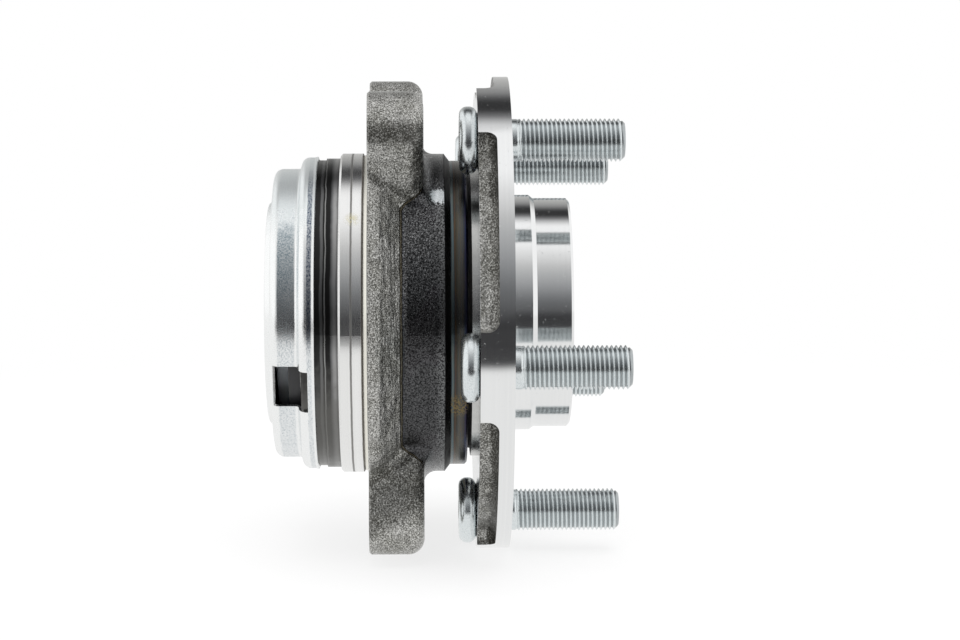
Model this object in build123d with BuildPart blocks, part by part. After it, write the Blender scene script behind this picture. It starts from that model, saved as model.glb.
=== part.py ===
# Wheel hub bearing unit. Millimetres. The hub turns about Y, and +Y points outboard, to the wheel.
# Y = 0 is the flange face that the brake disc and wheel bolt to.
import os
from math import cos, hypot, radians, sin, tan
from build123d import *

# Wheel side: flange, pilots and studs
stud_count = 5
stud_circle_radius = 57.15
stud_phase = -7.2            # first stud, degrees up from +X
stud_edge = 10.85            # from the stud circle to the rim of the flange
flange_thickness = 9.3
rotor_pilot_radius = 34.0
rotor_pilot_length = 6.1
wheel_pilot_radius = 33.05
wheel_pilot_length = 17.6
pilot_edge_chamfer = 0.7
pilot_lead_in = 1.3          # axial length of the cone between the two pilots
recess_mouth_radius = 26.5
recess_floor_radius = 21.0
recess_floor_y = -14.0
recess_corner_radius = 5.0
centre_mark_radius = 3.2
centre_mark_depth = 4.5

# Forged scallops between the stud lobes, on the back of the flange
lobe_half_angle = 10.6
scallop_depth = 4.5          # in from the rim
rim_thickness = 4.2
scallop_floor_fillet = 3.1
scallop_end_fillet = 3.6

# Studs
stud_radius = 6.0
stud_tip_y = 31.8
stud_tip_chamfer = 1.3
stud_shank_radius = 6.5
stud_head_radius = 9.4
stud_head_thickness = 5.0
stud_head_fillet = 2.2

# Outer ring
ring_front_y = -12.0
ring_front_radius = 43.9
ring_front_length = 4.8
ring_body_radius = 45.9
ring_front_cone = 1.5        # axial length of the cone up to the body
knuckle_face_y = -39.8
knuckle_pilot_radius = 46.0
knuckle_pilot_length = 8.0
undercut_width = 1.6         # relief between the pilot and the knuckle face, with a sloped run-out
undercut_depth = 0.6         # into the pilot
undercut_wall = 0.3          # axial length of its steep side
undercut_rise = 0.3          # above the pilot, where it enters the face
undercut_face_depth = 0.8
cap_seat_radius = 44.1
cap_seat_length = 6.4
cap_step = 0.5               # how far the step before the seat stands above it
cap_step_length = 4.0
ring_edge_chamfer = 0.6

# Ears and web
ear_spacing_x = 51.0
ear_spacing_z = 106.5
ear_radius = 12.2
ear_thickness = 15.6
ear_root_radius = 13.6       # the ear widens a little towards the ring
ear_root_centre = 30.0
ear_edge_fillet = 4.5
web_radius = 54.0
web_edge_thickness = 2.8     # the web thickens from here towards the ring
web_root_thickness = 9.6
web_edge_fillet = 2.2
web_back_chamfer = 0.6
web_root_fillet = 3.0
ear_root_fillet = 3.4
ear_hole_radius = 5.4        # tapping size of M12 x 1.25
ear_hole_chamfer = 0.8

# Rolling parts
ball_radius = 6.35
balls_per_row = 14
pitch_radius = 34.0
contact_angle = 38.0
outboard_row_y = -25.4
inboard_row_y = -44.7
race_conformity = 0.52       # radius of the grooves as a share of the ball's diameter
race_gap = 0.12
outer_land_radius = 36.3
outer_dam_cut = 0.15         # how far the open side stands below the top of the balls
inner_land_radius = 31.3
inner_dam_cut = 0.25

# Spindle and pressed inner ring
ring_seat_radius = 22.5
inner_ring_front_y = -35.0
inner_ring_overhang = 4.0    # past the end of the outer ring
inner_ring_edge = 0.6
formed_chamfer = 1.6         # the formed end fills this chamfer of the inner ring
formed_head_radius = 28.6
formed_head_thickness = 3.4
formed_head_fillet = 1.6
formed_bore_radius = 14.0
formed_bore_depth = 14.0
formed_bore_flare = 2.5
drill_point_angle = 31.0     # slope of the blind bore's end

# Cages
cage_inner_radius = 32.2
cage_outer_radius = 35.6
cage_rim_radius = 37.6
cage_rim_start = 4.7         # axial distance of the closed rim from the ball centres
cage_rim_end = 7.0
cage_claw_length = 3.2       # the claws reach this far past the ball centres
pocket_gap = 0.2
claw_notch_radius = 0.9

# Seals
seal_bore_radius = 40.6
seal_bore_depth = 5.7
seal_bore_lead = 0.4
sheet = 0.7                  # thickness of the stamped seal parts
seal_case_start = 0.5        # depths below the end of the outer ring
seal_case_end = 5.2
outboard_wall_depth = 1.6
seal_wall_inner_radius = 34.6
rubber_thickness = 0.7
rubber_inner_radius = 33.4
rubber_outer_radius = 38.7
rubber_edge_depth = 1.0
side_lip_radii = (37.9, 35.5)
side_lip_lean = 1.4
lip_root = 0.8
lip_tip = 0.4
radial_lip_reach = 1.6
lip_gap = 0.15
slinger_radius = 41.5
slinger_curl = 1.6
slinger_bend = 0.8
outboard_sleeve_length = 7.2
inboard_disc_radius = 39.5
inboard_disc_depth = 0.4
inboard_sleeve_length = 5.0

# Speed encoder
encoder_gap = 0.5            # between the inboard slinger and the encoder carrier
encoder_width = 3.5
encoder_carrier_radius = 38.0
magnet_thickness = 1.0
magnet_setback = 0.3

# Sensor cap
cap_sheet = 0.8
cap_skirt_length = 3.8
cap_shoulder_width = 2.5
cap_clearance = 1.0          # to the formed end of the spindle
cap_corner_radius = 2.6
cap_emboss_radius = 31.4
cap_emboss_height = 1.3
cap_emboss_ramp = 1.0
cap_bend_radius = 0.9
window_angle = -21.7         # degrees up from +X
window_width = 12.8
window_skirt_notch = 1.9     # how far the window runs up the skirt
window_end_margin = 1.4      # from the window to the end of the cap
window_corner_radius = 1.0

# Sizes that follow from those above
flange_radius = stud_circle_radius + stud_edge
scallop_radius = flange_radius - scallop_depth
race_radius = race_conformity * 2 * ball_radius
race_offset = race_radius - ball_radius - race_gap
outer_dam_radius = pitch_radius + ball_radius - outer_dam_cut
inner_dam_radius = pitch_radius - ball_radius + inner_dam_cut
pilot_end_y = knuckle_face_y - knuckle_pilot_length
cap_seat_y = pilot_end_y - cap_step_length
ring_back_y = cap_seat_y - cap_seat_length
inner_ring_back_y = ring_back_y - inner_ring_overhang
formed_end_y = inner_ring_back_y - formed_head_thickness
cap_end_y = formed_end_y - cap_clearance - cap_sheet

fit = 0.01                   # how near an edge must lie to be picked

os.makedirs("parts", exist_ok=True)


def station(y):
    """Sketch plane across the axis at y, with local x along X and local y along Z."""
    return Plane.XZ.offset(-y)


def finish(part, name):
    part.label = name
    export_step(part, f"parts/{name}.step")


def revolved(points):
    """Ring turned about Y from a closed outline of (radius, y) points."""
    with BuildPart() as ring:
        with BuildSketch(Plane.XY):
            with BuildLine():
                Polyline(*points, close=True)
            make_face()
        revolve(axis=Axis.Y)
    return ring.part


def race_groove(row_y, side, outer):
    """Ring to cut an angular contact groove with. side is the axial direction of the open end."""
    radial = 1 if outer else -1
    centre = (pitch_radius - radial * race_offset * cos(radians(contact_angle)),
              row_y + radial * side * race_offset * sin(radians(contact_angle)))
    with BuildPart() as groove:
        with BuildSketch(Plane.XY):
            with Locations(centre):
                Circle(race_radius)
        revolve(axis=Axis.Y)
    return groove.part


def radius_of(item):
    centre = item.center()
    return hypot(centre.X, centre.Z)


# Outer ring: turned body with ears and web forged on, and both outer races ground in
cap_step_radius = cap_seat_radius + cap_step
front_cone_y = ring_front_y - ring_front_length
web_front_y = knuckle_face_y + web_root_thickness
ear_front_y = knuckle_face_y + ear_thickness
ring_outline = [
    (0, ring_front_y),
    (ring_front_radius - ring_edge_chamfer, ring_front_y),
    (ring_front_radius, ring_front_y - ring_edge_chamfer),
    (ring_front_radius, front_cone_y),
    (ring_body_radius, front_cone_y - ring_front_cone),
    (ring_body_radius, web_front_y),
    (web_radius, knuckle_face_y + web_edge_thickness),
    (web_radius, knuckle_face_y),
    (knuckle_pilot_radius, knuckle_face_y),
    (knuckle_pilot_radius, pilot_end_y + ring_edge_chamfer),
    (knuckle_pilot_radius - ring_edge_chamfer, pilot_end_y),
    (cap_step_radius, pilot_end_y),
    (cap_step_radius, cap_seat_y),
    (cap_seat_radius, cap_seat_y),
    (cap_seat_radius, ring_back_y + ring_edge_chamfer),
    (cap_seat_radius - ring_edge_chamfer, ring_back_y),
    (0, ring_back_y),
]
bore_outline = [
    (0, ring_front_y),
    (seal_bore_radius + seal_bore_lead, ring_front_y),
    (seal_bore_radius, ring_front_y - seal_bore_lead),
    (seal_bore_radius, ring_front_y - seal_bore_depth),
    (outer_dam_radius, ring_front_y - seal_bore_depth - seal_bore_lead),
    (outer_dam_radius, outboard_row_y),
    (outer_land_radius, outboard_row_y),
    (outer_land_radius, inboard_row_y),
    (outer_dam_radius, inboard_row_y),
    (outer_dam_radius, ring_back_y + seal_bore_depth + seal_bore_lead),
    (seal_bore_radius, ring_back_y + seal_bore_depth),
    (seal_bore_radius, ring_back_y + seal_bore_lead),
    (seal_bore_radius + seal_bore_lead, ring_back_y),
    (0, ring_back_y),
]
undercut_end_y = knuckle_face_y - undercut_width
undercut_outline = [
    (knuckle_pilot_radius + undercut_rise, knuckle_face_y + undercut_face_depth),
    (knuckle_pilot_radius + undercut_rise, undercut_end_y),
    (knuckle_pilot_radius - undercut_depth, undercut_end_y + undercut_wall),
]
ear_x, ear_z = ear_spacing_x / 2, ear_spacing_z / 2
root_share = ear_root_centre / hypot(ear_x, ear_z)

with BuildSketch() as ear_plan:
    with Locations((ear_x, ear_z)):
        Circle(ear_radius)
    with Locations((ear_x * root_share, ear_z * root_share)):
        Circle(ear_root_radius)
    make_hull()

with BuildSketch() as ears_plan:
    add(ear_plan.sketch)
    mirror(about=Plane.YZ)
    mirror(about=Plane.XZ)

with BuildPart() as ring_body:
    with BuildSketch(Plane.XY) as ring_section:
        with BuildLine():
            Polyline(*ring_outline, close=True)
        make_face()
        web_edge = ring_section.vertices().group_by(Axis.X)[-1].sort_by(Axis.Y)[-1]
        fillet(web_edge, web_edge_fillet)
        web_root = ring_section.vertices().filter_by_position(
            Axis.Y, web_front_y - fit, web_front_y + fit)
        fillet(web_root, web_root_fillet)
    revolve(axis=Axis.Y)

with BuildPart() as ears:
    with BuildSketch(station(knuckle_face_y)):
        add(ears_plan.sketch)
    extrude(amount=-ear_thickness)

with BuildPart() as outer_ring:
    add(ring_body.part)
    add(ears.part)
    ear_roots = new_edges(ring_body.part, ears.part, combined=outer_ring.part)
    fillet(ear_roots, ear_root_fillet)
    ear_front = outer_ring.edges().filter_by_position(Axis.Y, ear_front_y - fit, ear_front_y + fit)
    ear_rims = ear_front.filter_by(
        lambda edge: radius_of(edge) > ring_body_radius + ear_root_fillet + fit)
    fillet(ear_rims, ear_edge_fillet)
    back_edges = outer_ring.edges().filter_by_position(
        Axis.Y, knuckle_face_y - fit, knuckle_face_y + fit)
    web_rims = back_edges.filter_by(GeomType.CIRCLE).filter_by(
        lambda edge: abs(edge.radius - web_radius) < fit)
    chamfer(web_rims, web_back_chamfer)
    add(revolved(undercut_outline), mode=Mode.SUBTRACT)
    add(revolved(bore_outline), mode=Mode.SUBTRACT)
    add(race_groove(outboard_row_y, 1, True), mode=Mode.SUBTRACT)
    add(race_groove(inboard_row_y, -1, True), mode=Mode.SUBTRACT)
    with Locations(station(knuckle_face_y)):
        with GridLocations(ear_spacing_x, ear_spacing_z, 2, 2):
            Hole(ear_hole_radius)
    hole_rims = outer_ring.edges().filter_by(GeomType.CIRCLE).filter_by(
        lambda edge: abs(edge.radius - ear_hole_radius) < fit)
    chamfer(hole_rims, ear_hole_chamfer)
finish(outer_ring.part, "outer_ring")

# Wheel hub: flange, pilots, outboard inner race, seat of the inner ring and the formed end
formed_floor_y = formed_end_y + formed_bore_depth
hub_outline = [
    (0, recess_floor_y - centre_mark_depth),
    (centre_mark_radius, recess_floor_y),
    (recess_floor_radius, recess_floor_y),
    (recess_mouth_radius, wheel_pilot_length),
    (wheel_pilot_radius - pilot_edge_chamfer, wheel_pilot_length),
    (wheel_pilot_radius, wheel_pilot_length - pilot_edge_chamfer),
    (wheel_pilot_radius, rotor_pilot_length + pilot_lead_in),
    (rotor_pilot_radius, rotor_pilot_length),
    (rotor_pilot_radius, 0),
    (flange_radius, 0),
    (flange_radius, -flange_thickness),
    (inner_land_radius, -flange_thickness),
    (inner_land_radius, outboard_row_y),
    (inner_dam_radius, outboard_row_y),
    (inner_dam_radius, inner_ring_front_y),
    (ring_seat_radius, inner_ring_front_y),
    (ring_seat_radius, inner_ring_back_y + formed_chamfer),
    (ring_seat_radius + formed_chamfer, inner_ring_back_y),
    (formed_head_radius, inner_ring_back_y),
    (formed_head_radius, formed_end_y),
    (formed_bore_radius + formed_bore_flare, formed_end_y),
    (formed_bore_radius, formed_end_y + formed_bore_flare),
    (formed_bore_radius, formed_floor_y),
    (0, formed_floor_y + formed_bore_radius * tan(radians(drill_point_angle))),
]
scallop_half_angle = 180 / stud_count - lobe_half_angle
scallop_reach = flange_radius + scallop_floor_fillet

with BuildPart() as scallop:
    with BuildSketch() as scallop_plan:
        with BuildLine():
            inner = CenterArc((0, 0), scallop_radius, -scallop_half_angle, 2 * scallop_half_angle)
            outer = CenterArc((0, 0), scallop_reach, -scallop_half_angle, 2 * scallop_half_angle)
            Line(inner @ 0, outer @ 0)
            Line(inner @ 1, outer @ 1)
        make_face()
        inner_corners = scallop_plan.vertices().filter_by(
            lambda corner: hypot(corner.X, corner.Y) < scallop_radius + fit)
        fillet(inner_corners, scallop_end_fillet)
    extrude(amount=flange_thickness)
    floor_edges = scallop.faces().sort_by(Axis.Z)[0].edges().filter_by(
        lambda edge: hypot(edge.center().X, edge.center().Y) < scallop_reach - fit)
    fillet(floor_edges, scallop_floor_fillet)

with BuildPart() as wheel_hub:
    with BuildSketch(Plane.XY) as hub_section:
        with BuildLine():
            Polyline(*hub_outline, close=True)
        make_face()
        formed_corner = hub_section.vertices().sort_by_distance((formed_head_radius, formed_end_y))[0]
        fillet(formed_corner, formed_head_fillet)
        recess_corner = hub_section.vertices().sort_by_distance(
            (recess_floor_radius, recess_floor_y))[0]
        fillet(recess_corner, recess_corner_radius)
    revolve(axis=Axis.Y)
    add(race_groove(outboard_row_y, 1, False), mode=Mode.SUBTRACT)
    with Locations(station(-rim_thickness)):
        with PolarLocations(0, stud_count, start_angle=stud_phase + 180 / stud_count):
            add(scallop.part, mode=Mode.SUBTRACT)
    with Locations(station(0)):
        with PolarLocations(stud_circle_radius, stud_count, start_angle=stud_phase):
            Hole(stud_shank_radius)
finish(wheel_hub.part, "wheel_hub")

# Inner ring, pressed on the spindle and held by the formed end
inner_ring_outline = [
    (ring_seat_radius, inner_ring_front_y - inner_ring_edge),
    (ring_seat_radius + inner_ring_edge, inner_ring_front_y),
    (inner_dam_radius, inner_ring_front_y),
    (inner_dam_radius, inboard_row_y),
    (inner_land_radius, inboard_row_y),
    (inner_land_radius, inner_ring_back_y + inner_ring_edge),
    (inner_land_radius - inner_ring_edge, inner_ring_back_y),
    (ring_seat_radius + formed_chamfer, inner_ring_back_y),
    (ring_seat_radius, inner_ring_back_y + formed_chamfer),
]

with BuildPart() as inner_ring:
    add(revolved(inner_ring_outline))
    add(race_groove(inboard_row_y, -1, False), mode=Mode.SUBTRACT)
finish(inner_ring.part, "inner_ring")

# Wheel studs: domed head, shank pressed in the flange, collar and thread diameter with a chamfered tip
head_back_y = -flange_thickness - stud_head_thickness
stud_outline = [
    (0, head_back_y),
    (stud_head_radius, head_back_y),
    (stud_head_radius, -flange_thickness),
    (stud_shank_radius, -flange_thickness),
    (stud_shank_radius, stud_radius - stud_shank_radius),
    (stud_radius, 0),
    (stud_radius, stud_tip_y - stud_tip_chamfer),
    (stud_radius - stud_tip_chamfer, stud_tip_y),
    (0, stud_tip_y),
]

with BuildPart() as wheel_stud:
    with BuildSketch(Plane.XY) as stud_section:
        with BuildLine():
            Polyline(*stud_outline, close=True)
        make_face()
        fillet(stud_section.vertices().group_by(Axis.X)[-1], stud_head_fillet)
    revolve(axis=Axis.Y)

for index in range(stud_count):
    angle = radians(stud_phase + index * 360 / stud_count)
    place = Location((stud_circle_radius * cos(angle), 0, stud_circle_radius * sin(angle)))
    finish(wheel_stud.part.moved(place), f"wheel_stud_{index + 1}")

# Balls and cages
with BuildPart() as ball:
    Sphere(ball_radius)


def make_cage(row_y, side):
    """Moulded snap cage. side is the axial direction of its closed rim, outwards."""
    claw_y = row_y - side * cage_claw_length
    rim_start_y = row_y + side * cage_rim_start
    rim_end_y = row_y + side * cage_rim_end
    with BuildPart() as cage:
        add(revolved([
            (cage_inner_radius, claw_y),
            (cage_outer_radius, claw_y),
            (cage_outer_radius, rim_start_y),
            (cage_rim_radius, rim_start_y),
            (cage_rim_radius, rim_end_y),
            (cage_inner_radius, rim_end_y),
        ]))
        with Locations(station(row_y)):
            with PolarLocations(pitch_radius, balls_per_row):
                Sphere(ball_radius + pocket_gap, mode=Mode.SUBTRACT)
        with Locations(station(claw_y)):
            with PolarLocations(pitch_radius, balls_per_row, start_angle=180 / balls_per_row):
                Cylinder(claw_notch_radius, ball_radius, rotation=(0, 90, 0), mode=Mode.SUBTRACT)
    return cage.part


for row, row_y, side in (("outboard", outboard_row_y, 1), ("inboard", inboard_row_y, -1)):
    finish(make_cage(row_y, side), f"{row}_cage")
    for index in range(balls_per_row):
        angle = radians(index * 360 / balls_per_row)
        place = Location((pitch_radius * cos(angle), row_y, pitch_radius * sin(angle)))
        finish(ball.part.moved(place), f"{row}_ball_{index + 1:02d}")


# Seals: a stamped case pressed in the ring, rubber lips bonded to it and a slinger that they run on
def section(inner_radius, outer_radius, start_y, end_y):
    """Rectangle of a ring's section."""
    with Locations(((inner_radius + outer_radius) / 2, (start_y + end_y) / 2)):
        Rectangle(outer_radius - inner_radius, abs(end_y - start_y))


def make_seal_case(end_y, side, start_depth, wall_depth):
    """Stamped case, in depths below the ring's end. side points out of the ring."""
    with BuildPart() as case:
        with BuildSketch(Plane.XY):
            section(seal_bore_radius - sheet, seal_bore_radius,
                    end_y - side * start_depth, end_y - side * seal_case_end)
            section(seal_wall_inner_radius, seal_bore_radius,
                    end_y - side * wall_depth, end_y - side * (wall_depth + sheet))
        revolve(axis=Axis.Y)
    return case.part


def make_seal_lips(end_y, side, wall_depth, disc_depth):
    """Rubber on the case's wall, with two side lips to the slinger's disc and one to its sleeve."""
    face_depth = wall_depth - rubber_thickness
    tip_depth = disc_depth + lip_gap
    sleeve_radius = inner_land_radius + sheet + lip_gap
    outline = [(rubber_outer_radius, wall_depth), (rubber_outer_radius, face_depth)]
    for radius in side_lip_radii:
        outline += [
            (radius + lip_root, face_depth),
            (radius + side_lip_lean + lip_tip, tip_depth),
            (radius + side_lip_lean, tip_depth),
            (radius, face_depth),
        ]
    outline += [
        (rubber_inner_radius, face_depth),
        (sleeve_radius, face_depth + radial_lip_reach),
        (sleeve_radius + lip_tip, face_depth + radial_lip_reach + lip_tip),
        (rubber_inner_radius + lip_tip, wall_depth + rubber_edge_depth),
        (seal_wall_inner_radius, wall_depth + rubber_edge_depth),
        (seal_wall_inner_radius, wall_depth),
    ]
    return revolved([(radius, end_y - side * depth) for radius, depth in outline])


flange_back_y = -flange_thickness
inboard_wall_depth = seal_case_end - sheet
outboard_disc_depth = ring_front_y - (flange_back_y - sheet)
inboard_disc_y = ring_back_y + inboard_disc_depth
finish(make_seal_case(ring_front_y, 1, outboard_wall_depth, outboard_wall_depth), "outboard_seal_case")
finish(make_seal_lips(ring_front_y, 1, outboard_wall_depth, outboard_disc_depth), "outboard_seal_lips")
finish(make_seal_case(ring_back_y, -1, seal_case_start, inboard_wall_depth), "inboard_seal_case")
finish(make_seal_lips(ring_back_y, -1, inboard_wall_depth, inboard_disc_depth + sheet),
       "inboard_seal_lips")
finish(revolved([
    (inner_land_radius, flange_back_y - slinger_bend),
    (inner_land_radius + slinger_bend, flange_back_y),
    (slinger_radius, flange_back_y),
    (slinger_radius, flange_back_y - slinger_curl),
    (slinger_radius - sheet, flange_back_y - slinger_curl),
    (slinger_radius - sheet, flange_back_y - sheet),
    (inner_land_radius + sheet + slinger_bend, flange_back_y - sheet),
    (inner_land_radius + sheet, flange_back_y - sheet - slinger_bend),
    (inner_land_radius + sheet, flange_back_y - outboard_sleeve_length),
    (inner_land_radius, flange_back_y - outboard_sleeve_length),
]), "outboard_slinger")
finish(revolved([
    (inner_land_radius, inboard_disc_y),
    (inboard_disc_radius, inboard_disc_y),
    (inboard_disc_radius, inboard_disc_y + sheet),
    (inner_land_radius + sheet, inboard_disc_y + sheet),
    (inner_land_radius + sheet, inboard_disc_y + inboard_sleeve_length),
    (inner_land_radius, inboard_disc_y + inboard_sleeve_length),
]), "inboard_slinger")

# Speed encoder: stamped carrier pressed on the inner ring, with the magnet band bonded around it
encoder_y = inboard_disc_y - encoder_gap
encoder_end_y = encoder_y - encoder_width

with BuildPart() as encoder_carrier:
    with BuildSketch(Plane.XY):
        section(inner_land_radius, encoder_carrier_radius, encoder_y, encoder_y - sheet)
        section(inner_land_radius, inner_land_radius + sheet, encoder_y, encoder_end_y)
        section(encoder_carrier_radius - sheet, encoder_carrier_radius, encoder_y, encoder_end_y)
    revolve(axis=Axis.Y)
finish(encoder_carrier.part, "encoder_carrier")

with BuildPart() as encoder_magnet:
    with BuildSketch(Plane.XY):
        section(encoder_carrier_radius, encoder_carrier_radius + magnet_thickness,
                encoder_y - magnet_setback, encoder_end_y)
    revolve(axis=Axis.Y)
finish(encoder_magnet.part, "encoder_magnet")

# Sensor cap: drawn from sheet, pressed on the ring's seat, with a window for the speed sensor
cap_skirt_radius = cap_seat_radius + cap_sheet
cap_skirt_y = ring_back_y + cap_skirt_length
cap_shoulder_y = ring_back_y - cap_sheet
cap_body_radius = cap_seat_radius - cap_shoulder_width
window_start_y = ring_back_y + window_skirt_notch
window_end_y = cap_end_y + window_end_margin
window_plane = Plane(
    origin=(0, 0, 0), x_dir=(0, 1, 0),
    z_dir=(cos(radians(window_angle)), 0, sin(radians(window_angle))))

with BuildPart() as sensor_cap:
    with BuildSketch(Plane.XY):
        with BuildLine():
            FilletPolyline(
                (cap_skirt_radius, cap_skirt_y),
                (cap_skirt_radius, cap_shoulder_y),
                (cap_body_radius, cap_shoulder_y),
                (cap_body_radius, cap_end_y),
                (cap_emboss_radius + cap_emboss_ramp, cap_end_y),
                (cap_emboss_radius, cap_end_y - cap_emboss_height),
                (0, cap_end_y - cap_emboss_height),
                radius=[cap_bend_radius, cap_bend_radius, cap_corner_radius,
                        cap_bend_radius, cap_bend_radius])
            offset(amount=cap_sheet, side=Side.RIGHT)
        make_face()
    revolve(axis=Axis.Y)
    with BuildSketch(window_plane.offset(inner_land_radius)):
        with Locations(((window_start_y + window_end_y) / 2, 0)):
            RectangleRounded(window_start_y - window_end_y, window_width, window_corner_radius)
    extrude(amount=cap_skirt_radius, mode=Mode.SUBTRACT)
finish(sensor_cap.part, "sensor_cap")
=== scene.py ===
import math

import bmesh
import bpy
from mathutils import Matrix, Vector


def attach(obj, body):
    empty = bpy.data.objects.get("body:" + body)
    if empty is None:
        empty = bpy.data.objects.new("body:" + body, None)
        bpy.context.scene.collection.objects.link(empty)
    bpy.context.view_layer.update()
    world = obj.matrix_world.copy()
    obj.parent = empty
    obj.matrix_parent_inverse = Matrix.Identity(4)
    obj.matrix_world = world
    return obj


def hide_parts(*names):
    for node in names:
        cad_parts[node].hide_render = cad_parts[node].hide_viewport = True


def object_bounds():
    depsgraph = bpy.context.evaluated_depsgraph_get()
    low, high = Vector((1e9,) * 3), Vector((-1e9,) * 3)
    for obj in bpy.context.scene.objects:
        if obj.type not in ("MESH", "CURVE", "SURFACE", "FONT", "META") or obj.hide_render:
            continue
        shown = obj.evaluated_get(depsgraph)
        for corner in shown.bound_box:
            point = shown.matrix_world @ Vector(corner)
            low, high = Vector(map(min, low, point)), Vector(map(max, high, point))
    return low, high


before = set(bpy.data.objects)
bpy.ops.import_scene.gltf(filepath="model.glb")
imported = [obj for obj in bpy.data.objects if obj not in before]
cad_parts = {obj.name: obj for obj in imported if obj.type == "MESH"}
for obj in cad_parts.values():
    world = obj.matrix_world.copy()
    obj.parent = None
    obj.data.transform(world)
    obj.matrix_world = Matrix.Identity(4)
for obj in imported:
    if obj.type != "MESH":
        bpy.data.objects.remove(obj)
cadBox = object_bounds()
mm = 0.001
print("frame loaded,", len(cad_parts), "nodes")


class Wire:
    # an output socket that sums and products can be written with
    def __init__(self, sheet, socket):
        self.sheet = sheet
        self.socket = socket

    def maths(self, operation, first, second=0.0):
        return self.sheet.add("ShaderNodeMath", {"operation": operation}, {0: first, 1: second})

    def __add__(self, other):
        return self.maths("ADD", self, other)

    def __sub__(self, other):
        return self.maths("SUBTRACT", self, other)

    def __rsub__(self, other):
        return self.maths("SUBTRACT", other, self)

    def __mul__(self, other):
        return self.maths("MULTIPLY", self, other)

    def __truediv__(self, other):
        return self.maths("DIVIDE", self, other)

    def __pow__(self, other):
        return self.maths("POWER", self, other)

    def __abs__(self):
        return self.maths("ABSOLUTE", self)

    __radd__ = __add__
    __rmul__ = __mul__


class Sheet:
    # the node sheet of a material or of the world
    def __init__(self, tree):
        self.tree = tree
        tree.nodes.clear()

    def add(self, kind, settings=None, sockets=None, output=0):
        node = self.tree.nodes.new(kind)
        for name, value in (settings or {}).items():
            if name == "stops":
                ramp = node.color_ramp.elements
                while len(ramp) < len(value):
                    ramp.new(0.5)
                for element, (position, colour) in zip(ramp, value):
                    element.position = position
                    element.color = (*colour, 1)
            else:
                setattr(node, name, value)
        for name, value in (sockets or {}).items():
            if isinstance(value, Wire):
                self.tree.links.new(value.socket, node.inputs[name])
            else:
                node.inputs[name].default_value = value
        return Wire(self, node.outputs[output]) if node.outputs else None

    def blend(self, mask, first, second):
        paints = [(*paint, 1) if isinstance(paint, tuple) else paint for paint in (first, second)]
        return self.add("ShaderNodeMix", {"data_type": "RGBA"}, {0: mask, 6: paints[0], 7: paints[1]}, 2)

    def above(self, value, edge, soft):
        return self.add("ShaderNodeMapRange", {"interpolation_type": "SMOOTHSTEP"},
                        {"Value": value, "From Min": edge - soft, "From Max": edge + soft})

    def within(self, value, low, high, soft):
        return self.above(value, low, soft) * (1 - self.above(value, high, soft))

    def noise(self, place, scale, detail=2.0, roughness=0.5, distortion=0.0):
        return self.add("ShaderNodeTexNoise", None, {
            "Vector": place, "Scale": scale, "Detail": detail, "Roughness": roughness,
            "Distortion": distortion})

    def place(self):
        # the point in millimetres, how far it is along the hub's axis and how far from it
        coordinates = self.add("ShaderNodeTexCoord", output="Object")
        point = self.add("ShaderNodeVectorMath", {"operation": "SCALE"}, {0: coordinates, "Scale": 1 / mm})
        across, along, up = [self.add("ShaderNodeSeparateXYZ", None, {0: point}, axis) for axis in "XYZ"]
        radius = (across * across + up * up) ** 0.5
        return point, across, along, up, radius

    def spot(self, point, centre, size, soft):
        away = self.add("ShaderNodeVectorMath", {"operation": "DISTANCE"}, {0: point, 1: centre}, "Value")
        return 1 - self.above(away, size, soft)


def startFinish(name):
    material = bpy.data.materials.new(name)
    material.use_nodes = True
    return material, Sheet(material.node_tree)


def layered(sheet, layers):
    # a later layer covers the earlier ones where its mask is 1
    whole = dict(layers[0])
    for layer in layers[1:]:
        mask = layer["mask"]
        for name in ("roughness", "metallic", "height"):
            whole[name] = whole[name] * (1 - mask) + layer[name] * mask
        whole["colour"] = sheet.blend(mask, whole["colour"], layer["colour"])
    return whole


def endFinish(material, sheet, whole, constants=None):
    # heights are in millimetres
    normal = sheet.add("ShaderNodeBump", None, {"Strength": 1.0, "Distance": mm, "Height": whole["height"]})
    shader = sheet.add("ShaderNodeBsdfPrincipled", None, {
        "Base Color": whole["colour"], "Roughness": whole["roughness"], "Metallic": whole["metallic"],
        "Normal": normal, **(constants or {})})
    sheet.add("ShaderNodeOutputMaterial", None, {"Surface": shader})
    return material


stageLook = {
    "floorSize": 24.0,
    "floorColour": (0.86, 0.86, 0.86),
    "whiteShare": 0.78,          # how much of the table's own shade the white hides near the object
    "whiteFrom": 0.26,           # all of it is hidden beyond this distance
    "whiteSoft": 0.12,
    "tableEdge": 0.25,           # where the lit table ends, in front of the object
    "tableEdgeSoft": 0.03,
    "edgeSweep": 0.9,            # how far the edge moves forward with each step sideways
    "tableGlow": (0.88, 0.88, 0.875),
    "roomShade": (0.05, 0.05, 0.052),
    "sideFrom": 0.42,            # beyond this share of a sideways look the room is white
    "sideSoft": 0.12,
    "sideWhite": (1.0, 1.0, 1.0),
    "worldStrength": 0.62,
}


def seenDirectly(sheet):
    return [sheet.add("ShaderNodeLightPath", output=name)
            for name in ("Is Camera Ray", "Is Glossy Ray", "Is Transmission Ray")]


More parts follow.
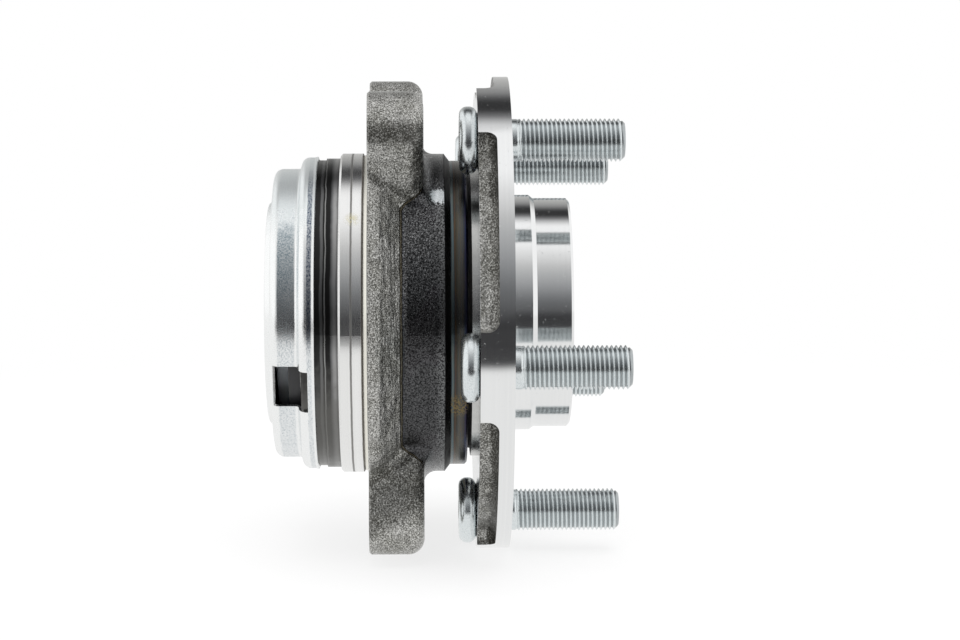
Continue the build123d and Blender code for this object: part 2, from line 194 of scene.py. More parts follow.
def makeStage(look):
    # a white table, lit up to its edge and in shade beyond it
    material, sheet = startFinish("tableWhite")
    camera, glossy, through = seenDirectly(sheet)
    _, across, along, _, _ = sheet.place()
    past = sheet.above(across - abs(along) * look["edgeSweep"], look["tableEdge"] / mm,
                       look["tableEdgeSoft"] / mm)
    lit = sheet.blend(glossy, (1, 1, 1), look["tableGlow"])
    glow = sheet.blend(past * glossy, lit, look["roomShade"])
    reach = (across * across + along * along) ** 0.5
    far = sheet.above(reach, look["whiteFrom"] / mm, look["whiteSoft"] / mm)
    plain = sheet.add("ShaderNodeBsdfDiffuse", None, {"Color": (*look["floorColour"], 1)})
    white = sheet.add("ShaderNodeEmission", None, {"Color": glow, "Strength": 1.0})
    share = camera * (look["whiteShare"] + (1 - look["whiteShare"]) * far) + glossy + through
    both = sheet.add("ShaderNodeMixShader", None, {0: share, 1: plain, 2: white})
    sheet.add("ShaderNodeOutputMaterial", None, {"Surface": both})
    mesh = bpy.data.meshes.new("table")
    half = look["floorSize"] / 2
    corners = [(-half, -half), (half, -half), (half, half), (-half, half)]
    mesh.from_pydata([(x, y, cadBox[0][2]) for x, y in corners], [], [(0, 1, 2, 3)])
    mesh.materials.append(material)
    table = bpy.data.objects.new("table", mesh)
    bpy.context.scene.collection.objects.link(table)


def makeWorld(look):
    # soft boxes overhead and a darker room in front of the table, seen in the metal
    world = bpy.data.worlds.new("studio")
    world.use_nodes = True
    bpy.context.scene.world = world
    sheet = Sheet(world.node_tree)
    camera, glossy, through = seenDirectly(sheet)
    direction = sheet.add("ShaderNodeTexCoord", output="Generated")
    forward, sideways, height = [
        sheet.add("ShaderNodeSeparateXYZ", None, {0: direction}, axis) for axis in "XYZ"]
    climb = height * 0.5 + 0.5
    roomFront = sheet.add("ShaderNodeValToRGB", {"stops": [
        (0.5, (0.04, 0.04, 0.042)), (0.545, (0.055, 0.055, 0.058)), (0.587, (0.11, 0.112, 0.116)),
        (0.654, (0.15, 0.154, 0.16)), (0.703, (0.21, 0.215, 0.222)), (0.765, (0.31, 0.316, 0.324)),
        (0.86, (0.47, 0.475, 0.48)), (0.905, (0.58, 0.58, 0.58)), (0.964, (0.82, 0.82, 0.82)),
        (0.992, (1.0, 1.0, 1.0))]}, {0: climb})
    roomBack = sheet.add("ShaderNodeValToRGB", {"stops": [
        (0.5, (0.62, 0.62, 0.61)), (0.68, (0.46, 0.46, 0.45)), (0.77, (0.36, 0.36, 0.355)),
        (0.82, (0.24, 0.24, 0.24)), (0.855, (0.10, 0.10, 0.102)), (0.885, (0.035, 0.035, 0.036)),
        (0.925, (0.035, 0.035, 0.036)), (0.948, (0.18, 0.18, 0.184)), (0.968, (0.62, 0.62, 0.625)),
        (0.985, (1.0, 1.0, 1.0))]}, {0: climb})
    room = sheet.blend(sheet.above(forward, 0.0, 0.2), roomBack, roomFront)
    side = sheet.above(abs(sideways), look["sideFrom"], look["sideSoft"])
    room = sheet.blend(side, room, look["sideWhite"])
    colour = sheet.blend(glossy, (1, 1, 1), room)
    direct = camera + glossy + through
    strength = direct + (1 - direct) * look["worldStrength"]
    background = sheet.add("ShaderNodeBackground", None, {"Color": colour, "Strength": strength})
    sheet.add("ShaderNodeOutputWorld", None, {"Surface": background})


lampLook = {
    "above": {"place": (0.15, 0.05, 0.95), "size": 1.1, "power": 9.0},
    "left": {"place": (0.45, -0.95, 0.35), "size": 0.9, "power": 4.0},
    "right": {"place": (0.45, 0.95, 0.35), "size": 0.9, "power": 3.0},
    "back": {"place": (-0.95, 0.0, 0.40), "size": 0.9, "power": 3.0},
}


def makeLamps(look):
    for name, lamp in look.items():
        data = bpy.data.lights.new(f"softBox_{name}", "AREA")
        data.shape = "SQUARE"
        data.size = lamp["size"]
        data.energy = lamp["power"]
        box = bpy.data.objects.new(data.name, data)
        box.location = lamp["place"]
        box.rotation_euler = (-Vector(lamp["place"])).to_track_quat("-Z", "Y").to_euler()
        box.visible_glossy = False
        box.visible_camera = False
        bpy.context.scene.collection.objects.link(box)


cameraView = {
    "distance": 771 * mm,
    "elevation": 8.0,
    "station": -26.7 * mm,       # along the hub's axis
    "aim": (0.31 * mm, -7.85 * mm, -2.24 * mm),
    "lens": 99.7,
    "sensorWidth": 36,
    "clipStart": 0.01,
}


def makeCamera(view):
    tilt = math.radians(view["elevation"])
    camera = bpy.data.objects.new("viewCamera", bpy.data.cameras.new("viewCamera"))
    camera.location = (
        view["distance"] * math.cos(tilt), view["station"], view["distance"] * math.sin(tilt))
    aim = Vector(view["aim"]) - camera.location
    camera.rotation_euler = aim.to_track_quat("-Z", "Y").to_euler()
    camera.data.lens = view["lens"]
    camera.data.sensor_width = view["sensorWidth"]
    camera.data.clip_start = view["clipStart"]
    bpy.context.scene.collection.objects.link(camera)
    bpy.context.scene.camera = camera


makeCamera(cameraView)
makeStage(stageLook)
makeWorld(stageLook)
makeLamps(lampLook)
bpy.context.scene.view_settings.view_transform = "Standard"
print("camera, table and lamps made")


def forgedLayer(sheet, point, look, ridges=0.0, shade=0.0):
    # shot-blasted forging: fine grain over slow waves, with painted glints on the grain's peaks and painted
    # shade where shade says
    grain = sheet.noise(point, look["grainScale"], 3.0, 0.6)
    dents = sheet.noise(point, look["dentScale"], 3.0, 0.55)
    patches = sheet.noise(point, look["patchScale"], 3.0, 0.55)
    peaks = sheet.above(grain, look["peakFrom"], look["grainSoft"])
    pits = 1 - sheet.above(grain, look["pitTo"], look["grainSoft"])
    tone = sheet.blend(sheet.above(patches, 0.5, 0.16), look["dark"], look["light"])
    # painted shade: the tone darkens towards the shadow colour where shade says
    tone = sheet.blend(shade, tone, look["shadow"])
    tone = sheet.blend(pits * look["pitShare"], tone, look["pit"])
    return {
        # painted glints: the grain's peaks are painted near white, fewer of them where shade is painted
        "colour": sheet.blend(peaks * look["paintedGlintShare"] * (1 - 0.6 * shade), tone, look["paintedGlint"]),
        "roughness": look["roughness"] + 0.08 * pits - 0.08 * peaks,
        "metallic": look["metallic"],
        "height": grain * look["grainHeight"] + dents * look["dentHeight"]
        + patches * look["patchHeight"] + ridges * look["ridgeHeight"],
    }


def turnedLayer(sheet, radius, along, look):
    # lathe marks run round the axis, so they follow only the radius and the station
    lathe = sheet.add("ShaderNodeCombineXYZ", None, {0: radius, 1: along})
    fine = sheet.noise(lathe, look["fineScale"], 2.0, 0.6)
    wide = sheet.noise(lathe, look["wideScale"], 2.0, 0.5)
    return {
        "colour": sheet.blend(wide, look["dark"], look["light"]),
        "roughness": look["roughness"] + look["roughnessChange"] * (fine - 0.5),
        "metallic": 1.0,
        "height": fine * look["fineHeight"] + wide * look["wideHeight"],
    }


forgedLook = {
    "grainScale": 2.4, "dentScale": 0.5, "patchScale": 0.13,
    "peakFrom": 0.57, "pitTo": 0.44, "grainSoft": 0.07,
    "grainHeight": 0.22, "dentHeight": 0.40, "patchHeight": 1.5, "ridgeHeight": 0.6,
    # the near-white colour is a painted glint, and shadow is the painted shade
    "dark": (0.29, 0.287, 0.262), "light": (0.44, 0.436, 0.417), "paintedGlint": (0.98, 0.98, 0.95),
    "pit": (0.03, 0.029, 0.025), "shadow": (0.05, 0.048, 0.040), "paintedGlintShare": 0.6, "pitShare": 0.75,
    "roughness": 0.30, "metallic": 0.85,
}
turnedLook = {
    "fineScale": 5.0, "wideScale": 0.9, "fineHeight": 0.002, "wideHeight": 0.001,
    "dark": (0.83, 0.838, 0.842), "light": (0.90, 0.905, 0.905), "roughness": 0.11, "roughnessChange": 0.06,
}
groundLook = dict(turnedLook, dark=(0.84, 0.84, 0.835), light=(0.93, 0.93, 0.92), roughness=0.20)
ringShadeLook = {
    # where the ear's side meets the web: |up| there is edgeUp at the knuckle face, less further forward
    "edgeUp": 43.4, "edgeLean": 0.62, "faceStation": -39.8, "edgeHalf": 1.3, "edgeShare": 0.75,
    "bandLow": 52.0, "bandHigh": 57.5, "bandShare": 0.8,
    "cornerStation": -27.6, "cornerShare": 0.85,
    "underFrom": 45.0, "underTo": 59.0, "underShare": 0.65,
    # the last light colour is a painted highlight along the ridge at the ears' ends
    "endUp": 65.6, "end": (0.42, 0.425, 0.415), "endHighlightHalf": 0.3, "endHighlight": (0.66, 0.67, 0.65),
}
scaleLook = {
    "radius": 46.3, "start": -36.0, "leanFrom": -30.0, "lean": 0.5, "crustScale": 2.2, "crustHeight": 0.09,
    "dark": (0.016, 0.016, 0.017), "mid": (0.105, 0.106, 0.109), "fleck": (0.62, 0.63, 0.64),
    "curlScale": 1.3, "curlHalf": 0.012, "curlUp": 6.0, "curlLeast": 0.15,
    "worn": (0.20, 0.205, 0.207), "wornStart": -20.4,
    "tear": (26.3, -20.0, 34.6), "tearSize": 3.6, "torn": (0.66, 0.69, 0.71),
    # a painted shadow under the upper ear: its centre, size and near-black colour
    "paintedShadow": (26.5, -25.6, 35.1), "paintedShadowSize": 3.6, "paintedShadowColour": (0.008, 0.008, 0.008),
    "seamRadius": 46.45, "seamHalf": 0.22, "straw": (0.085, 0.066, 0.030),
    "blueEnd": -30.2, "blue": (0.030, 0.042, 0.075), "seamUp": 40.0,
}
frontLook = {
    "start": -17.0, "length": 5.2,
    "bands": [(0.04, (0.012, 0.012, 0.012)), (0.09, (0.10, 0.135, 0.14)), (0.18, (0.09, 0.12, 0.125)),
              (0.22, (0.03, 0.03, 0.03)), (0.26, (0.09, 0.055, 0.035)), (0.31, (0.05, 0.045, 0.032)),
              (0.45, (0.09, 0.088, 0.075)), (0.64, (0.08, 0.078, 0.07)), (0.75, (0.035, 0.04, 0.05)),
              (0.83, (0.012, 0.016, 0.055)), (0.93, (0.012, 0.016, 0.04)), (0.975, (0.15, 0.15, 0.15))],
    "tints": [(0.38, (0.10, 0.10, 0.10)), (0.46, (0.05, 0.10, 0.19)), (0.53, (0.24, 0.16, 0.08)),
              (0.62, (0.10, 0.10, 0.10))],
    # the groove's colour is painted shade, near black
    "grooveStart": -18.5, "grooveEnd": -16.85, "groove": (0.008, 0.008, 0.008),
    "mottle": (38.8, -14.4, -20.6), "mottleSize": 3.2, "brown": (0.20, 0.15, 0.06),
}
pilotLook = {
    "end": -39.9, "innerRadius": 41.5,
    "lineStation": -44.3, "lineHalf": 0.28, "line": (0.16, 0.155, 0.145),
    "cornerStation": -41.25, "cornerHalf": 0.22, "corner": (0.10, 0.085, 0.065),
    "runOut": (0.90, 0.88, 0.80),
    "spot": (34.2, -43.9, 30.8), "spotSize": 1.6, "spotColour": (0.55, 0.50, 0.28),
}
seatLook = {
    "start": -54.4, "length": 6.6, "end": -47.78, "innerRadius": 42.5,
    "bands": [(0.0, (0.03, 0.03, 0.03)), (0.22, (0.035, 0.035, 0.035)), (0.27, (0.17, 0.172, 0.175)),
              (0.35, (0.15, 0.15, 0.15)), (0.38, (0.02, 0.02, 0.02)), (0.425, (0.03, 0.03, 0.03)),
              (0.44, (0.34, 0.34, 0.33)), (0.47, (0.28, 0.28, 0.28)), (0.49, (0.022, 0.022, 0.022)),
              (0.66, (0.025, 0.025, 0.025)), (0.72, (0.15, 0.152, 0.156)), (0.82, (0.36, 0.36, 0.36)),
              (0.90, (0.38, 0.38, 0.38)), (0.96, (0.18, 0.18, 0.18)), (1.0, (0.32, 0.32, 0.32))],
    "thin": (0.15, 0.148, 0.14), "thinBelow": -14.0, "thinShare": 0.75,
}
machinedLook = {
    "holeAcross": 25.5, "holeUp": 53.25,
    "holeReach": 40.0,           # the square of the radius that is bright around a bolt hole
    "faceStation": -39.8, "faceHalf": 0.1, "faceRadius": 46.4, "boreRadius": 41.2,
}


def ringShade(sheet, along, up, wander, look):
    # painted shade on the ears: along the crease where each ear meets the web, in a band and a corner on
    # the upper ears, and under the lower ears
    out = abs(up) + wander * 1.5
    edge = out + (along - look["faceStation"]) * look["edgeLean"]
    upper = sheet.above(up, 0.0, 5.0)
    corner = sheet.above(along + wander, look["cornerStation"], 1.0) * sheet.within(
        out, look["edgeUp"] - 6, look["bandLow"], 1.5)
    line = sheet.within(edge, look["edgeUp"] - look["edgeHalf"], look["edgeUp"] + look["edgeHalf"], 1.1)
    band = sheet.within(out, look["bandLow"], look["bandHigh"], 1.8)
    under = sheet.within(edge, look["underFrom"], look["underTo"], 2.5) * (1 - upper)
    shade = line * look["edgeShare"] + band * look["bandShare"] * upper
    shade = shade + corner * look["cornerShare"] * upper + under * look["underShare"]
    return shade.maths("MINIMUM", shade, 1.0)


def scaleLayers(sheet, point, along, up, radius, wander, look):
    # black scale on the turned body, worn towards its front, with temper colours where the forging starts
    # and a painted shadow under the upper ear
    crust = sheet.noise(point, look["crustScale"], 4.0, 0.65)
    turned = sheet.above(along, look["start"], 0.5)
    lean = along.maths("MAXIMUM", (along - look["leanFrom"]) * look["lean"], 0.0)
    ring = radius + wander * 0.2 - lean
    zone = (1 - sheet.above(ring, look["radius"], 0.12)) * turned
    worn = sheet.above(along + wander * 2, look["wornStart"], 1.2) * sheet.above(crust, 0.50, 0.05)
    high = sheet.above(up + wander * 4, look["curlUp"], 12.0)
    swirl = sheet.noise(point, look["curlScale"], 2.0, 0.6)
    curls = 1 - sheet.above(abs(swirl - 0.5), look["curlHalf"], 0.015)
    curls = curls * sheet.above(crust, 0.50, 0.06) * (look["curlLeast"] + (1 - look["curlLeast"]) * high)
    colour = sheet.blend(sheet.above(crust, 0.50, 0.12), look["dark"], look["mid"])
    colour = sheet.blend(curls, colour, look["fleck"])
    tear = sheet.spot(point, look["tear"], look["tearSize"], 2.0)
    torn = sheet.above(tear + (crust - 0.5) * 1.6, 0.5, 0.06)
    # a painted shadow under the upper near ear, near black
    paintedShadow = sheet.spot(point, look["paintedShadow"], look["paintedShadowSize"], 2.4)
    paintedShadow = sheet.above(paintedShadow + (crust - 0.5) * 1.4, 0.5, 0.08)
    colour = sheet.blend(paintedShadow, sheet.blend(worn * 0.7, colour, look["worn"]), look["paintedShadowColour"])
    colour = sheet.blend(torn, colour, look["torn"])
    middle = 1 - sheet.above(abs(up), look["seamUp"], 2.0)
    seam = sheet.within(
        ring, look["seamRadius"] - look["seamHalf"], look["seamRadius"] + look["seamHalf"], 0.15)
    blued = (1 - sheet.above(along, look["blueEnd"], 0.8)) * zone
    return [
        {"mask": zone, "colour": colour, "roughness": 0.22 - 0.05 * worn, "metallic": 1.0,
         "height": crust * (look["crustHeight"] - 0.04 * worn)},
        {"mask": blued * middle * 0.8, "colour": look["blue"],
         "roughness": 0.3, "metallic": 0.9, "height": crust * look["crustHeight"]},
        {"mask": seam * turned * middle * 0.8, "colour": look["straw"],
         "roughness": 0.4, "metallic": 0.8, "height": crust * 0.3},
    ]


def frontLayers(sheet, point, across, along, up, ground, look):
    # the end of the ring beside the flange: a groove painted near black as shade, then banded heat-blued
    # steel
    share = (along - look["start"]) / look["length"]
    lathe = sheet.add("ShaderNodeCombineXYZ", None, {0: along, 1: up * 0.05, 2: across * 0.05})
    tint = sheet.noise(lathe, 1.3, 3.0, 0.6)
    bands = sheet.add("ShaderNodeValToRGB", {"stops": look["bands"]}, {0: share + (tint - 0.5) * 0.12})
    tints = sheet.add("ShaderNodeValToRGB", {"stops": look["tints"]}, {0: tint})
    speckle = sheet.above(sheet.noise(point, 1.6, 3.0, 0.6), 0.5, 0.06)
    mottle = sheet.spot(point, look["mottle"], look["mottleSize"], 1.6) * speckle
    return [
        {"mask": sheet.above(along, look["grooveEnd"], 0.1), "colour": sheet.blend(0.12, bands, tints),
         "roughness": 0.2 + 0.14 * tint, "metallic": 1.0, "height": ground["height"] * 2},
        {"mask": mottle * 0.8, "colour": look["brown"], "roughness": 0.45, "metallic": 0.5,
         "height": speckle * 0.05},
        # painted shade: the groove is near black
        {"mask": sheet.within(along, look["grooveStart"], look["grooveEnd"], 0.12),
         "colour": look["groove"], "roughness": 0.45, "metallic": 1.0, "height": ground["height"] * 2},
    ]


def pilotLayers(sheet, point, along, radius, wander, ground, look):
    # the ground pilot, with a fine dark line round its middle, the undercut with a dark line that is oil
    # brown and partly painted shade, and one pale spot of rust
    zone = (1 - sheet.above(along, look["end"], 0.05)) * sheet.above(radius, look["innerRadius"], 0.2)

    def line(name):
        station, half = look[name + "Station"], look[name + "Half"]
        return sheet.within(along + wander * 0.12, station - half, station + half, 0.1) * zone

    broken = sheet.above(sheet.noise(point, 1.2, 3.0, 0.7), 0.46, 0.1)
    stained = {"roughness": 0.45, "metallic": 0.8, "height": ground["height"]}
    runOut = sheet.above(along, look["cornerStation"] + look["cornerHalf"], 0.05) * zone
    return [
        dict(ground, mask=zone),
        {**ground, "mask": runOut, "colour": look["runOut"], "roughness": 0.3},
        {**stained, "mask": line("line") * 0.85, "colour": look["line"]},
        # the undercut's dark line: oil brown, partly painted shade
        {**stained, "mask": line("corner") * 0.9, "colour": look["corner"]},
        {**stained, "mask": sheet.spot(point, look["spot"], look["spotSize"], 1.3) * broken * 0.7,
         "colour": look["spotColour"], "metallic": 0.4},
    ]


def seatLayer(sheet, point, across, along, up, radius, wander, patches, ground, look):
    # the step and the cap's seat, banded with dark oil that thins towards the bottom
    lathe = sheet.add("ShaderNodeCombineXYZ", None, {0: radius, 1: along, 2: up * 0.05})
    streaks = sheet.noise(lathe, 1.6, 3.0, 0.6)
    drift = (sheet.noise(point, 0.12, 2.0, 0.5) - 0.5) * 0.12 + (streaks - 0.5) * 0.05
    bands = sheet.add("ShaderNodeValToRGB", {"stops": look["bands"]},
                      {0: (along - look["start"]) / look["length"] + drift})
    thin = (1 - sheet.above(up + wander * 12, look["thinBelow"], 10.0)) * look["thinShare"]
    return {
        "mask": (1 - sheet.above(along, look["end"], 0.06)) * sheet.above(radius, look["innerRadius"], 0.2),
        "colour": sheet.blend(thin, bands, look["thin"]),
        "roughness": 0.2 + 0.2 * patches, "metallic": 1.0, "height": ground["height"] * 3 + streaks * 0.02,
    }


def makeOuterRingFinish(look):
    # raw forging first, then what was turned, ground, faced and drilled
    material, sheet = startFinish("forgedRing")
    point, across, along, up, radius = sheet.place()
    patches = sheet.noise(point, 0.25, 3.0, 0.6)
    wander = (patches - 0.5) * 1.6
    lathe = sheet.add("ShaderNodeCombineXYZ", None, {0: along, 1: up * 0.1, 2: across * 0.1})
    ridges = sheet.noise(lathe, 0.9, 2.0, 0.5) * (1 - sheet.above(abs(up), 42.0, 3.0))
    shade = ringShade(sheet, along, up, wander, ringShadeLook)
    forged = forgedLayer(sheet, point, forgedLook, ridges, shade)
    ground = turnedLayer(sheet, radius, along, groundLook)
    fromHole = (abs(across) - look["holeAcross"]) ** 2 + (abs(up) - look["holeUp"]) ** 2
    faceBack, faceFront = look["faceStation"] - look["faceHalf"], look["faceStation"] + look["faceHalf"]
    faced = sheet.within(along, faceBack, faceFront, 0.05) * sheet.above(radius, look["faceRadius"], 0.1)
    holed = 1 - sheet.above(fromHole, look["holeReach"], 1.5)
    bored = 1 - sheet.above(radius, look["boreRadius"], 0.2)
    end, half = ringShadeLook["endUp"], ringShadeLook["endHighlightHalf"]
    earEnd = dict(forged, mask=sheet.above(abs(up) + wander * 0.3, end, 0.3), roughness=0.34,
                  colour=sheet.blend(0.6, forged["colour"], ringShadeLook["end"]))
    # a painted highlight along the ridge at the ears' ends
    earHighlight = dict(earEnd, mask=sheet.within(abs(up) + wander * 0.3, end - half, end + half, 0.2) * 0.7,
                   colour=ringShadeLook["endHighlight"])
    whole = layered(sheet, [
        forged, earEnd, earHighlight,
        *scaleLayers(sheet, point, along, up, radius, wander, scaleLook),
        *frontLayers(sheet, point, across, along, up, ground, frontLook),
        *pilotLayers(sheet, point, along, radius, wander, ground, pilotLook),
        seatLayer(sheet, point, across, along, up, radius, wander, patches, ground, seatLook),
        dict(ground, mask=faced), dict(ground, mask=holed), dict(ground, mask=bored),
    ])
    return endFinish(material, sheet, whole)


hubLook = {
    "rimBack": -4.1, "landRadius": 67.9, "scallopInner": 62.6,
    # painted shade on the forged scallops: darker into the fillet behind the rim, and towards their ends
    # away from the band round brightUp
    "filletStation": -6.4, "filletShadeShare": 0.65, "brightUp": 12.0, "brightHalf": 24.0, "endShadeShare": 0.4,
    "rimFace": -9.25, "nickHeight": 0.03,
    # the head's colour after formedEnd is a painted reflection, pale and nearly not metal
    "raceEnd": -10.5, "race": (0.80, 0.81, 0.82), "formedEnd": -61.0, "formed": (0.80, 0.84, 0.88),
    # the recess is a cone: its radius grows with the station
    "recessRadius": 24.6, "recessTaper": 0.18, "recessBack": -20.0,
    "recess": (0.50, 0.505, 0.50), "recessLight": (0.34, 0.345, 0.345),
}


def makeHubFinish(look):
    material, sheet = startFinish("turnedHub")
    point, across, along, up, radius = sheet.place()
    turned = turnedLayer(sheet, radius, along, turnedLook)
    nicks = sheet.above(sheet.noise(point, 0.9, 4.0, 0.75), 0.70, 0.04)
    turned["height"] = turned["height"] - nicks * look["nickHeight"]
    # painted shade on the forged scallops: darker into the fillet behind the rim, and away from the band
    # round brightUp
    slow = (sheet.noise(point, 0.15, 2.0) - 0.5) * 4
    fillet = sheet.above(along + slow, look["filletStation"], 0.6)
    ends = sheet.above(abs(up - look["brightUp"]) + slow * 3, look["brightHalf"], 6.0)
    shade = fillet * look["filletShadeShare"] + ends * look["endShadeShare"]
    forged = forgedLayer(sheet, point, forgedLook, 0.0, shade)
    wander = (sheet.noise(point, 0.8, 2.0) - 0.5) * 0.5
    behind = 1 - sheet.above(along + wander, look["rimBack"], 0.12)
    behind = behind * sheet.above(along, look["rimFace"], 0.04)
    inside = 1 - sheet.above(radius, look["landRadius"], 0.04)
    forged["mask"] = behind * inside * sheet.above(radius, look["scallopInner"], 0.1)
    race = {
        "mask": 1 - sheet.above(along, look["raceEnd"], 0.4), "colour": look["race"],
        "roughness": 0.1, "metallic": 1.0, "height": turned["height"] * 0.2,
    }
    cone = 1 - sheet.above(radius - along * look["recessTaper"], look["recessRadius"], 0.4)
    recess = {
        "mask": cone * sheet.above(along, look["recessBack"], 0.5),
        "colour": sheet.blend(sheet.noise(point, 0.3, 3.0), look["recess"], look["recessLight"]),
        "roughness": 0.38, "metallic": 0.95, "height": turned["height"] * 4,
    }
    # painted reflection: the head is pale blue-grey and nearly not metal, so that light through the cap's
    # window stands in for its polished reflections
    formed = {
        "mask": 1 - sheet.above(along, look["formedEnd"], 0.6), "colour": look["formed"],
        "roughness": 0.3, "metallic": 0.05, "height": turned["height"] * 3,
    }
    whole = layered(sheet, [turned, forged, race, recess, formed])
    return endFinish(material, sheet, whole)


zincLook = {
    "light": (0.97, 0.98, 0.98), "dark": (0.46, 0.52, 0.56), "spangleScale": 2.8,
    "spangleHeight": 0.010, "cloudHeight": 0.02, "roughness": 0.16, "cloudScale": 0.12, "fleckShare": 0.6,
}
capLook = {
    "skirtStart": -56.4, "skirtEnd": -55.1, "skirtRadius": 43.0, "skirt": (0.05, 0.08, 0.14),
    "skirtUp": 19.0, "skirtHalf": 21.0,
    # the dark band below the top is a painted reflection, and the grey, less metallic top is painted in
    # place of its reflection
    "paintedDarkBandLow": 9.0, "paintedDarkBandHigh": 28.0, "paintedDarkBand": (0.28, 0.35, 0.39), "bodyStart": -64.6, "bodyEnd": -60.0,
    "paintedTopSheenUp": 29.0, "paintedTopSheen": (0.62, 0.66, 0.665), "paintedTopSheenShare": 0.75,
}
studFinishLook = {
    # the thread's roots get painted shade
    "rootRadius": 5.5, "innerRadius": 4.5, "rootShade": (0.20, 0.215, 0.22), "rootShadeShare": 0.55,
    "zinc": dict(zincLook, light=(0.85, 0.89, 0.895), spangleScale=2.4, spangleHeight=0.001,
                 fleckShare=0.2),
}


def zincLayer(sheet, point, look, flecked=1.0):
    spangle = sheet.noise(point, look["spangleScale"], 4.0, 0.7)
    cloud = sheet.noise(point, look["cloudScale"], 3.0, 0.6)
    fleck = sheet.above(spangle, 0.52, 0.07)
    dull = (fleck * look["fleckShare"] + cloud * 0.25) * flecked
    return {
        "colour": sheet.blend(dull, look["light"], look["dark"]),
        "roughness": look["roughness"] + 0.10 * fleck + 0.08 * cloud,
        "metallic": 1.0,
        "height": (spangle * look["spangleHeight"] + cloud * look["cloudHeight"]) * flecked,
    }, fleck


def makeCapFinish(look):
    # the walls are grainy and their bends bright, the skirt is dark beside its lip, a band below the top is
    # a painted dark reflection, and the top is painted hazy grey in place of its reflection
    material, sheet = startFinish("capZinc")
    point, _, along, up, radius = sheet.place()
    slow = sheet.noise(point, 0.35, 3.0, 0.6)
    drift = (slow - 0.5) * 0.5
    body = sheet.within(along + drift, look["bodyStart"], look["bodyEnd"], 0.25)
    skirt = sheet.within(along + drift, look["skirtStart"], look["skirtEnd"], 0.15)
    skirt = skirt * sheet.above(radius, look["skirtRadius"], 0.5)
    zinc, fleck = zincLayer(sheet, point, zincLook, body + skirt)
    skirt = skirt * (1 - sheet.above(abs(up - look["skirtUp"]), look["skirtHalf"], 4.0))
    high = up + (slow - 0.5) * 12
    # a painted dark reflection band below the cap's top
    paintedDarkBand = sheet.above(high, look["paintedDarkBandLow"], 8.0) * (1 - sheet.above(high, look["paintedDarkBandHigh"], 3.0))
    paintedDarkBand = paintedDarkBand * body
    # painted light: the top is grey and less metallic, in place of its reflection
    paintedTopSheen = sheet.above(high, look["paintedTopSheenUp"], 6.0)
    whole = layered(sheet, [
        zinc,
        dict(zinc, mask=paintedTopSheen * look["paintedTopSheenShare"], colour=look["paintedTopSheen"], roughness=0.32, metallic=0.55),
        dict(zinc, mask=paintedDarkBand * (0.4 + 0.6 * fleck), colour=look["paintedDarkBand"]),
        dict(zinc, mask=skirt * (0.4 + 0.6 * fleck), colour=look["skirt"]),
    ])
    return endFinish(material, sheet, whole)


def makeStudFinish(look):
    # each stud's own axis is the origin, so the thread's roots are the inner radii
    material, sheet = startFinish("studZinc")
    point, _, _, _, radius = sheet.place()
    zinc, _ = zincLayer(sheet, point, look["zinc"])
    # painted shade in the thread's roots
    rootShade = 1 - sheet.above(radius, look["rootRadius"], 0.16)
    rootShade = rootShade * sheet.above(radius, look["innerRadius"], 0.2) * look["rootShadeShare"]
    whole = layered(sheet, [zinc, dict(zinc, mask=rootShade, colour=look["rootShade"], roughness=0.35)])
    return endFinish(material, sheet, whole)


plainLooks = {
    "bearingSteel": {"light": (0.80, 0.80, 0.80), "dark": (0.66, 0.66, 0.66), "roughness": 0.14,
                     "metallic": 1.0, "scale": 0.5, "height": 0.002},
    "ballSteel": {"light": (0.86, 0.86, 0.86), "dark": (0.80, 0.80, 0.80), "roughness": 0.05,
                  "metallic": 1.0, "scale": 0.4, "height": 0.0},
    "sealSteel": {"light": (0.70, 0.70, 0.69), "dark": (0.50, 0.50, 0.49), "roughness": 0.26,
                  "metallic": 1.0, "scale": 0.35, "height": 0.006},
    "cagePolyamide": {"light": (0.42, 0.31, 0.16), "dark": (0.33, 0.24, 0.12), "roughness": 0.42,
                      "metallic": 0.0, "scale": 0.6, "height": 0.02},
    "sealRubber": {"light": (0.035, 0.033, 0.032), "dark": (0.02, 0.02, 0.02), "roughness": 0.55,
                   "metallic": 0.0, "scale": 1.2, "height": 0.02},
    "encoderRubber": {"light": (0.03, 0.03, 0.032), "dark": (0.018, 0.018, 0.02), "roughness": 0.40,
                      "metallic": 0.0, "scale": 0.9, "height": 0.01},
}


def makePlainFinish(name, look):
    material, sheet = startFinish(name)
    point = sheet.place()[0]
    grain = sheet.noise(point, look["scale"], 4.0, 0.6)
    whole = {
        "colour": sheet.blend(grain, look["dark"], look["light"]),
        "roughness": look["roughness"] + 0.12 * (grain - 0.5),
        "metallic": look["metallic"],
        "height": sheet.noise(point, look["scale"] * 4, 3.0, 0.6) * look["height"],
    }
    return endFinish(material, sheet, whole)


finishes = {name: makePlainFinish(name, look) for name, look in plainLooks.items()}
finishes["forgedRing"] = makeOuterRingFinish(machinedLook)
finishes["turnedHub"] = makeHubFinish(hubLook)
finishes["capZinc"] = makeCapFinish(capLook)
finishes["studZinc"] = makeStudFinish(studFinishLook)

nodeFinishes = {
    "outer_ring": "forgedRing", "wheel_hub": "turnedHub", "inner_ring": "bearingSteel",
    "sensor_cap": "capZinc",
    "outboard_slinger": "sealSteel", "inboard_slinger": "sealSteel", "encoder_carrier": "sealSteel",
    "encoder_magnet": "encoderRubber", "outboard_cage": "cagePolyamide", "inboard_cage": "cagePolyamide",
    "outboard_seal_case": "sealSteel", "inboard_seal_case": "sealSteel",
    "outboard_seal_lips": "sealRubber", "inboard_seal_lips": "sealRubber",
}
for name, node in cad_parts.items():
    finish = nodeFinishes.get(name, "ballSteel" if "_ball_" in name else "studZinc")
    for slot in node.material_slots:
        slot.material = finishes[finish]
print("finishes set")


